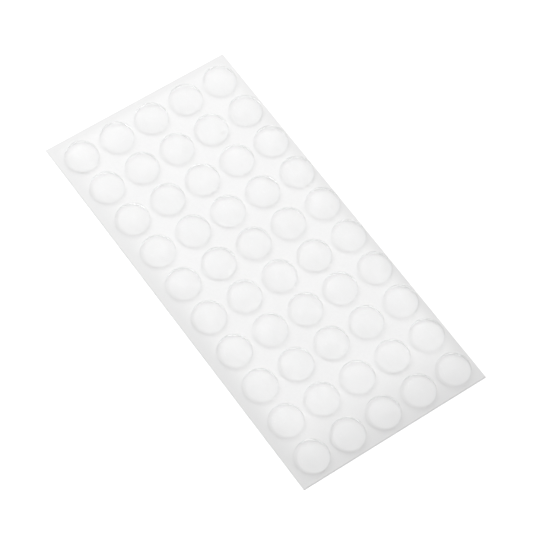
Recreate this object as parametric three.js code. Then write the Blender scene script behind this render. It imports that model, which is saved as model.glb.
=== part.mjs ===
// A sheet of clear self-adhesive cabinet door bumpers. Soft moulded domes stand in rows
// on one thin release liner, and each is peeled off and pressed onto a door or a drawer.
// Millimetres, +Z up. The origin is on the underside of the liner, at its centre.
// X runs across the sheet, and Y runs along it towards the back row.
import * as THREE from 'three';

// One bumper: an upright side, a rounded shoulder and a shallow crown
const bumperDiameter = 10;
const bumperHeight = 3;
const sideHeight = 0.8;
const shoulderRadius = 1.7;

// The rows of bumpers, with bare liner between one foot and the next
const columnCount = 5;
const rowCount = 10;
const columnGap = 2;
const rowGap = 2.65;

// The columns bow a little to the right between the first row and the last
const columnBow = 0.95;

// The release liner, and how far it reaches past the feet of the outermost rows
const linerThickness = 0.2;
const leftMargin = 2.3;
const rightMargin = 1.4;
const backMargin = 2.75;
const frontMargin = 1.65;

// Fineness of the turned surface
const bumperSegments = 20;
const shoulderSteps = 2;
const crownSteps = 2;

// The distance from the centre of one bumper to the next, and the span of all the feet
const columnPitch = bumperDiameter + columnGap;
const rowPitch = bumperDiameter + rowGap;
const rowsWidth = columnCount * columnPitch - columnGap;
const rowsLength = rowCount * rowPitch - rowGap;
const linerWidth = leftMargin + rowsWidth + rightMargin;
const linerLength = frontMargin + rowsLength + backMargin;

// The profile of half a bumper, from the middle of its underside out to the foot and up
// to the top of the crown. The shoulder leaves the side upright and runs smoothly into
// the crown, so the crown's radius follows from the other sizes.
function bumperProfile() {
  const footRadius = bumperDiameter / 2;
  const shoulderCentreX = footRadius - shoulderRadius;
  const domeHeight = bumperHeight - sideHeight;
  const crownRadius =
    (shoulderCentreX ** 2 + domeHeight ** 2 - shoulderRadius ** 2) /
    (2 * (domeHeight - shoulderRadius));
  const crownCentreY = bumperHeight - crownRadius;
  const joinAngle = Math.atan2(sideHeight - crownCentreY, shoulderCentreX);

  const shoulder = new THREE.EllipseCurve(
    shoulderCentreX, sideHeight, shoulderRadius, shoulderRadius, 0, joinAngle,
  );
  const crown = new THREE.EllipseCurve(
    0, crownCentreY, crownRadius, crownRadius, joinAngle, Math.PI / 2,
  );
  return [
    new THREE.Vector2(0, 0),
    new THREE.Vector2(footRadius, 0),
    ...shoulder.getPoints(shoulderSteps),
    ...crown.getPoints(crownSteps).slice(1, -1),
    new THREE.Vector2(0, bumperHeight),
  ];
}

// The lathe turns a profile about Y, so it is laid over to stand on Z
const bumperGeometry = new THREE.LatheGeometry(bumperProfile(), bumperSegments);
bumperGeometry.rotateX(Math.PI / 2);

// One clear bumper, standing on the liner with its foot centred on x, y
function makeBumper(name, x, y) {
  const clearPolyurethane = new THREE.MeshStandardMaterial({
    color: 0xf2f3f3,
    roughness: 0.12,
    metalness: 0,
    transparent: true,
    opacity: 0.55,
  });
  const bumper = new THREE.Mesh(bumperGeometry, clearPolyurethane);
  bumper.name = name;
  bumper.position.set(x, y, linerThickness);
  return bumper;
}

// How far a row stands to the right of the first and the last, most in the middle
function bowOfRow(row) {
  const place = (2 * row) / (rowCount - 1) - 1;
  return columnBow * (1 - place ** 2);
}

// All the bumpers, row by row from the back, each row from left to right
function makeRows() {
  const rows = new THREE.Group();
  const firstX = -linerWidth / 2 + leftMargin + bumperDiameter / 2;
  const firstY = linerLength / 2 - backMargin - bumperDiameter / 2;
  for (let row = 0; row < rowCount; row += 1) {
    const rowX = firstX + bowOfRow(row);
    for (let column = 0; column < columnCount; column += 1) {
      const name = `bumper_row${row + 1}_col${column + 1}`;
      rows.add(makeBumper(name, rowX + column * columnPitch, firstY - row * rowPitch));
    }
  }
  return rows;
}

// The flat release liner that carries them
function makeLiner() {
  const siliconisedFilm = new THREE.MeshStandardMaterial({
    color: 0xf4f4f4,
    roughness: 0.45,
    metalness: 0,
  });
  const liner = new THREE.Mesh(
    new THREE.BoxGeometry(linerWidth, linerLength, linerThickness),
    siliconisedFilm,
  );
  liner.name = 'release_liner';
  liner.position.z = linerThickness / 2;
  return liner;
}

const sheet = new THREE.Group();
sheet.add(makeLiner(), makeRows());

export default sheet;
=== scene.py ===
import math
import bpy
from mathutils import Matrix, Vector


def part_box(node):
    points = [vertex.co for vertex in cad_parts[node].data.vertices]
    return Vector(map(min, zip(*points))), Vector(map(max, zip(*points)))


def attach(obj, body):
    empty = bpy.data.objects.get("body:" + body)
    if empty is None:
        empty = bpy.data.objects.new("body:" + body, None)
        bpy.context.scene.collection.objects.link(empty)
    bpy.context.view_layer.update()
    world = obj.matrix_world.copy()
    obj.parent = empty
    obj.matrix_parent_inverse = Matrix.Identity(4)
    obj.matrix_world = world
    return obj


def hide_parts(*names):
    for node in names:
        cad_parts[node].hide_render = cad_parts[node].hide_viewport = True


# A sheet of clear door bumpers: domes on a release liner, under a soft light on white
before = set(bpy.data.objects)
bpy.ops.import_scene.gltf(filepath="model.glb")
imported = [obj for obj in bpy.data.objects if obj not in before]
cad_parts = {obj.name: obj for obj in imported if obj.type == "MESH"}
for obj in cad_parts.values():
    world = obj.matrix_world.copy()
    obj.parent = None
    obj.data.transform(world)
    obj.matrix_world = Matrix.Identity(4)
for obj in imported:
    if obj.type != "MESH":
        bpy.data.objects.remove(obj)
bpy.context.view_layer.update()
mm = 0.001
print("stage: packed model loaded,", len(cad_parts), "nodes")


class Wire:  # one output socket that takes part in shader maths
    def __init__(self, finish, socket):
        self.finish = finish
        self.socket = socket

    def maths(self, operation, first, second):
        settings = {"operation": operation}
        return self.finish.node("ShaderNodeMath", settings, {0: first, 1: second})

    def __add__(self, other):
        return self.maths("ADD", self, other)

    def __sub__(self, other):
        return self.maths("SUBTRACT", self, other)

    def __rsub__(self, other):
        return self.maths("SUBTRACT", other, self)

    def __mul__(self, other):
        return self.maths("MULTIPLY", self, other)


class Finish:  # the node tree of one material, or of the world
    def __init__(self, owner):
        owner.use_nodes = True
        self.owner = owner
        self.tree = owner.node_tree
        self.tree.nodes.clear()

    def node(self, kind, settings=None, inputs=None, output=0):
        made = self.tree.nodes.new(kind)
        for name, value in (settings or {}).items():
            setattr(made, name, value)
        for key, value in (inputs or {}).items():
            if isinstance(value, Wire):
                self.tree.links.new(value.socket, made.inputs[key])
            else:
                made.inputs[key].default_value = value
        return Wire(self, made.outputs[output]) if len(made.outputs) else made

    def place(self, axis):
        spot = self.node("ShaderNodeTexCoord", output="Object")
        return self.node("ShaderNodeSeparateXYZ", {}, {"Vector": spot}, axis)

    def noise(self, scale, detail=2, roughness=0.5, stretch=(1, 1, 1), turn=(0, 0, 0)):
        spot = self.node("ShaderNodeTexCoord", output="Object")
        layout = {"Vector": spot, "Rotation": turn, "Scale": stretch}
        spot = self.node("ShaderNodeMapping", {}, layout)
        grain = {"Vector": spot, "Scale": scale, "Detail": detail, "Roughness": roughness}
        return self.node("ShaderNodeTexNoise", {}, grain)

    def spread(self, value, low, high, fromLow=0.3, fromHigh=0.7):  # noise stays near 0.3 to 0.7
        ends = {"From Min": fromLow, "From Max": fromHigh, "To Min": low, "To Max": high}
        return self.node("ShaderNodeMapRange", {}, {"Value": value, **ends})

    def fadeIn(self, distance, reach):
        ends = {"Value": distance, "From Min": 0, "From Max": reach, "To Min": 0, "To Max": 1}
        return self.node("ShaderNodeMapRange", {"interpolation_type": "SMOOTHSTEP"}, ends)

    def blend(self, factor, first, second):  # a Mix node's colours are sockets 6, 7 and 2
        colours = {0: factor, 6: first, 7: second}
        return self.node("ShaderNodeMix", {"data_type": "RGBA"}, colours, 2)

    def bump(self, height, strength, distance):
        relief = {"Height": height, "Strength": strength, "Distance": distance}
        return self.node("ShaderNodeBump", {}, relief)

    def close(self, shader, kind="ShaderNodeOutputMaterial"):
        self.node(kind, {}, {"Surface": shader})
        return self.owner


def grey(tone):
    return (tone, tone, tone, 1)


# The milky film, with painted shade that greys it towards its cut edges, most of all at the front
film = {
    "dark": 0.885,
    "pale": 0.945,
    "cloudScale": 45,
    "cloudShare": 0.45,
    "fibreScale": 1700,
    "fibreRelief": 0.15,
    "fibreDepth": 0.02 * mm,
    "roughLow": 0.37,
    "roughHigh": 0.47,
    # Painted shade: the grey the film takes at its front and back cut edges, and how far in from
    # each edge it reaches
    "paintedShadeFront": 0.73,
    "paintedShadeBack": 0.845,
    "left": 9 * mm,
    "right": 5 * mm,
    "front": 20 * mm,
    "back": 4 * mm,
}


# The mask of the painted edge shade
def awayFromEdges(finish, low, high):  # 0 at the cut edges, 1 well inside them
    across, along = finish.place("X"), finish.place("Y")
    left = finish.fadeIn(across - low.x, film["left"])
    right = finish.fadeIn(high.x - across, film["right"])
    front = finish.fadeIn(along - low.y, film["front"])
    back = finish.fadeIn(high.y - along, film["back"])
    return left * right * front * back


# Painted shade: greys a colour towards the sheet's cut edges, darker at the front than at the
# back
def paintShadeAtEdges(finish, colour, low, high, paintedShadeFront, paintedShadeBack):
    toBack = finish.spread(finish.place("Y"), 0, 1, low.y, high.y)
    paintedEdgeShade = finish.blend(toBack, grey(paintedShadeFront), grey(paintedShadeBack))
    return finish.blend(awayFromEdges(finish, low, high), paintedEdgeShade, colour)


def releaseFilm(low, high):
    finish = Finish(bpy.data.materials.new("release_film_fine"))
    cloud = finish.noise(film["cloudScale"], detail=3)
    fibre = finish.noise(film["fibreScale"], detail=3, roughness=0.6)
    pattern = cloud * film["cloudShare"] + fibre * (1 - film["cloudShare"])
    mottling = finish.spread(pattern, 0, 1)
    mottled = finish.blend(mottling, grey(film["dark"]), grey(film["pale"]))
    shader = finish.node("ShaderNodeBsdfPrincipled", {}, {
        "Base Color": paintShadeAtEdges(finish, mottled, low, high, film["paintedShadeFront"], film["paintedShadeBack"]),
        "Roughness": finish.spread(fibre, film["roughLow"], film["roughHigh"]),
        "Normal": finish.bump(fibre, film["fibreRelief"], film["fibreDepth"]),
    })
    return finish.close(shader)


# Clear soft plastic, nearly invisible on the white film. The real index is 1.49; the lower
# one and the thin body stand for the light that the film sends back through the plastic
polyurethane = {
    "tint": (0.99, 0.992, 0.992, 1),
    "index": 1.16,
    "roughLow": 0.04,
    "roughHigh": 0.1,
    "rippleScale": 260,
    "rippleRelief": 0.3,
    "rippleDepth": 0.06 * mm,
    "body": 0.26,
    "coat": 0.6,
    "coatRoughness": 0.3,
    "coatIndex": 1.5,
}


def clearPolyurethane():
    finish = Finish(bpy.data.materials.new("clear_polyurethane_fine"))
    ripple = finish.noise(polyurethane["rippleScale"], detail=3)
    roughness = finish.spread(ripple, polyurethane["roughLow"], polyurethane["roughHigh"])
    relief = finish.bump(ripple, polyurethane["rippleRelief"], polyurethane["rippleDepth"])
    shader = finish.node("ShaderNodeBsdfPrincipled", {}, {
        "Base Color": polyurethane["tint"],
        "Roughness": roughness,
        "IOR": polyurethane["index"],
        "Transmission Weight": 1.0,
        "Alpha": polyurethane["body"],
        "Coat Weight": polyurethane["coat"],
        "Coat Roughness": polyurethane["coatRoughness"],
        "Coat IOR": polyurethane["coatIndex"],
        "Normal": relief,
    })
    return finish.close(shader)


# The adhesive under each bumper: a disc that wets the film in streaks, and the bare rim round it,
# where the plastic only lies on the film.
# The disc's paler tone is painted light, the pool of light the dome focuses on the film; the
# rim's greyer tone is painted shade round that pool
adhesive = {
    # Painted light and shade: the disc's tones are paler than the film's, the rim's greyer than
    # the disc's, and both grey towards the sheet's edges as painted shade
    "discAndPaintedLight": {"dark": 0.955, "pale": 0.985, "paintedShadeFront": 0.86, "paintedShadeBack": 0.94},
    "paintedShadeRim": {"dark": 0.94, "pale": 0.965, "paintedShadeFront": 0.79, "paintedShadeBack": 0.915},
    "scale": 620,
    "streak": (1, 0.4, 1),
    "streakTurn": (0, 0, 0.6),
    "roughness": 0.5,
}


def adhesiveFace(part, low, high):
    tones = adhesive[part]
    finish = Finish(bpy.data.materials.new("adhesive_" + part))
    streaks = finish.noise(
        adhesive["scale"], detail=4, roughness=0.6,
        stretch=adhesive["streak"], turn=adhesive["streakTurn"])
    # The streaked tone is painted light on the disc and painted shade on the rim
    streakedPaintedTone = finish.blend(finish.spread(streaks, 0, 1), grey(tones["dark"]), grey(tones["pale"]))
    shaded = paintShadeAtEdges(finish, streakedPaintedTone, low, high, tones["paintedShadeFront"], tones["paintedShadeBack"])
    shader = finish.node("ShaderNodeBsdfPrincipled", {}, {
        "Base Color": shaded,
        "Roughness": adhesive["roughness"],
    })
    return finish.close(shader)


# A bumper's profile: an upright side, a rounded shoulder and a low crown. The disc of adhesive
# under it is drawn a little off centre, towards where the dome focuses the light, so that its
# paler tone paints that pool of light. The disc of adhesive under it is drawn a little off
# centre, as it looks from the photo's camera
bumperShape = {
    "sides": 96,
    "seat": 0.02 * mm,  # the gap to the liner, so that the two faces don't coincide
    "sideHeight": 0.8 * mm,
    "shoulderRadius": 1.7 * mm,
    "shoulderSteps": 9,
    "crownSteps": 9,
    # The width of the rim that is painted with shade
    "paintedShadeRim": 0.65 * mm,
    # Moves the disc towards where the dome focuses the light: a painted pool of light
    "paintedLightShift": (0.25 * mm, -0.4 * mm, 0),
    "smoothAngle": 40,
}


def bumperRings(footRadius, height):  # radius and height of each ring, from the side up
    sideHeight = bumperShape["sideHeight"]
    shoulderRadius = bumperShape["shoulderRadius"]
    reach = footRadius - shoulderRadius
    rise = height - sideHeight
    crownRadius = (reach ** 2 + rise ** 2 - shoulderRadius ** 2) / (2 * (rise - shoulderRadius))
    crownCentre = height - crownRadius
    join = math.atan2(sideHeight - crownCentre, reach)
    rings = [(footRadius, sideHeight)]
    for step in range(1, bumperShape["shoulderSteps"] + 1):
        angle = join * step / bumperShape["shoulderSteps"]
        radius = reach + shoulderRadius * math.cos(angle)
        rings.append((radius, sideHeight + shoulderRadius * math.sin(angle)))
    for step in range(1, bumperShape["crownSteps"]):
        angle = join + (math.pi / 2 - join) * step / bumperShape["crownSteps"]
        radius = crownRadius * math.cos(angle)
        rings.append((radius, crownCentre + crownRadius * math.sin(angle)))
    return rings


def turnBumper(footRadius, height):
    bpy.ops.object.select_all(action="DESELECT")
    lastRadius, lastZ = footRadius, bumperShape["seat"]
    bpy.ops.mesh.primitive_circle_add(
        vertices=bumperShape["sides"], radius=footRadius, fill_type="NGON", location=(0, 0, 0))
    bumper = bpy.context.object
    bpy.ops.object.mode_set(mode="EDIT")
    bpy.ops.mesh.select_mode(type="FACE")
    bpy.ops.mesh.select_all(action="SELECT")
    bpy.ops.transform.translate(value=(0, 0, lastZ))
    for radius, z in bumperRings(footRadius, height):
        narrowing = radius / lastRadius
        bpy.ops.mesh.extrude_region_move(TRANSFORM_OT_translate={"value": (0, 0, z - lastZ)})
        bpy.ops.transform.resize(value=(narrowing, narrowing, 1))
        lastRadius, lastZ = radius, z
    bpy.ops.mesh.select_mode(type="VERT")
    bpy.ops.mesh.merge(type="CENTER")
    bpy.ops.transform.translate(value=(0, 0, height - lastZ))
    bpy.ops.mesh.select_all(action="SELECT")
    bpy.ops.mesh.normals_make_consistent(inside=False)
    insetAdhesive(bumper)
    bpy.ops.object.mode_set(mode="OBJECT")
    bpy.ops.object.shade_smooth_by_angle(angle=math.radians(bumperShape["smoothAngle"]))
    return bumper


def facesDown(face):
    return face.normal.z < -0.9


def insetAdhesive(bumper):  # the underside becomes a bare rim round the disc of adhesive
    bpy.ops.mesh.select_mode(type="FACE")
    bpy.ops.mesh.select_all(action="DESELECT")
    bpy.ops.object.mode_set(mode="OBJECT")
    for face in bumper.data.polygons:
        face.select = facesDown(face)
    bpy.ops.object.mode_set(mode="EDIT")
    bpy.ops.mesh.inset(thickness=bumperShape["paintedShadeRim"])
    # Shifts the disc to the painted pool of light
    bpy.ops.transform.translate(value=bumperShape["paintedLightShift"])


def finishBumper(bumper, plastic, discAndPaintedLight, paintedShadeRim):  # the rim's faces have four corners each
    for finish in (plastic, discAndPaintedLight, paintedShadeRim):
        bumper.data.materials.append(finish)
    for face in bumper.data.polygons:
        underneath = 2 if len(face.vertices) == 4 else 1
        face.material_index = underneath if facesDown(face) else 0


def placeBumper(sample, name):
    low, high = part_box(name)
    foot = ((low.x + high.x) / 2, (low.y + high.y) / 2, low.z)
    bumper = sample.copy()
    bumper.data = sample.data.copy()
    bumper.name = "clear_" + name
    bumper.data.transform(Matrix.Translation(foot))
    bpy.context.scene.collection.objects.link(bumper)
    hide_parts(name)
    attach(bumper, "root")


linerLow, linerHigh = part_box("release_liner")
bumperNames = sorted(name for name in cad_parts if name.startswith("bumper"))
sampleLow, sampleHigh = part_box(bumperNames[0])
sample = turnBumper((sampleHigh.x - sampleLow.x) / 2, sampleHigh.z - sampleLow.z)
finishBumper(
    sample,
    clearPolyurethane(),
    adhesiveFace("discAndPaintedLight", linerLow, linerHigh),
    adhesiveFace("paintedShadeRim", linerLow, linerHigh),
)
for name in bumperNames:
    placeBumper(sample, name)
bpy.data.objects.remove(sample)
print("stage:", len(bumperNames), "bumpers turned and placed")

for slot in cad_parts["release_liner"].material_slots:
    slot.material = releaseFilm(linerLow, linerHigh)
print("stage: liner finished")

# The white floor and surroundings, and the one lamp. Metres and watts
studio = {
    "floorSize": 6,
    "floorDrop": 0.03 * mm,
    "floorTone": 0.9,
    "floorRoughness": 0.9,
    "floorGlow": 0.35,
    "worldStrength": 0.2,
    "lampPlace": (0.15, 0.75, 1.4),
    "lampSize": (1.6, 1.2),
    "lampPower": 24.6,
}


def whereWhiteShows(finish):  # 1 for what is seen, mirrored or seen through, else 0
    shows = finish.node("ShaderNodeLightPath", output="Is Camera Ray")
    for kind in ("Is Glossy Ray", "Is Transmission Ray"):
        shows = shows.maths("MAXIMUM", shows, finish.node("ShaderNodeLightPath", output=kind))
    scattered = finish.node("ShaderNodeLightPath", output="Diffuse Depth")
    return shows * scattered.maths("LESS_THAN", scattered, 0.5)


def makeFloor():
    bpy.ops.object.select_all(action="DESELECT")
    bpy.ops.mesh.primitive_plane_add(
        size=studio["floorSize"], location=(0, 0, -studio["floorDrop"]))
    floor = bpy.context.object
    floor.name = "studio_floor"
    finish = Finish(bpy.data.materials.new("studio_floor_white"))
    shader = finish.node("ShaderNodeBsdfPrincipled", {}, {
        "Base Color": grey(studio["floorTone"]),
        "Roughness": studio["floorRoughness"],
        "Emission Color": grey(1),
        "Emission Strength": whereWhiteShows(finish) * studio["floorGlow"],
    })
    floor.data.materials.append(finish.close(shader))


def makeWorld():
    world = bpy.data.worlds.new("studio_white")
    bpy.context.scene.world = world
    finish = Finish(world)
    dim = studio["worldStrength"]
    strength = whereWhiteShows(finish) * (1 - dim) + dim
    shader = finish.node("ShaderNodeBackground", {}, {"Color": grey(1), "Strength": strength})
    finish.close(shader, "ShaderNodeOutputWorld")


def makeLamp():  # one large softbox above the back of the sheet
    light = bpy.data.lights.new("back_softbox", "AREA")
    light.shape = "RECTANGLE"
    light.size, light.size_y = studio["lampSize"]
    light.energy = studio["lampPower"]
    lamp = bpy.data.objects.new("back_softbox", light)
    bpy.context.scene.collection.objects.link(lamp)
    lamp.location = studio["lampPlace"]
    lamp.rotation_euler = (-Vector(studio["lampPlace"])).to_track_quat("-Z", "Y").to_euler()
    lamp.visible_camera = False


makeFloor()
makeWorld()
makeLamp()
bpy.context.scene.view_settings.view_transform = "Standard"

# The camera that was fitted to the photo. Millimetres for the lens, metres and degrees
shot = {
    "lens": 167.66,
    "sensor": 36,
    "clipStart": 0.01,
    "place": (-0.22902, -0.27025, 0.6134),
    "turn": (29.6768, -3.2332, -35.0618),
}
view = bpy.data.cameras.new("photo_view")
view.sensor_width = shot["sensor"]
view.lens = shot["lens"]
view.clip_start = shot["clipStart"]
camera = bpy.data.objects.new("photo_view", view)
bpy.context.scene.collection.objects.link(camera)
camera.location = shot["place"]
camera.rotation_euler = [math.radians(angle) for angle in shot["turn"]]
bpy.context.scene.camera = camera
print("stage: studio and camera set")
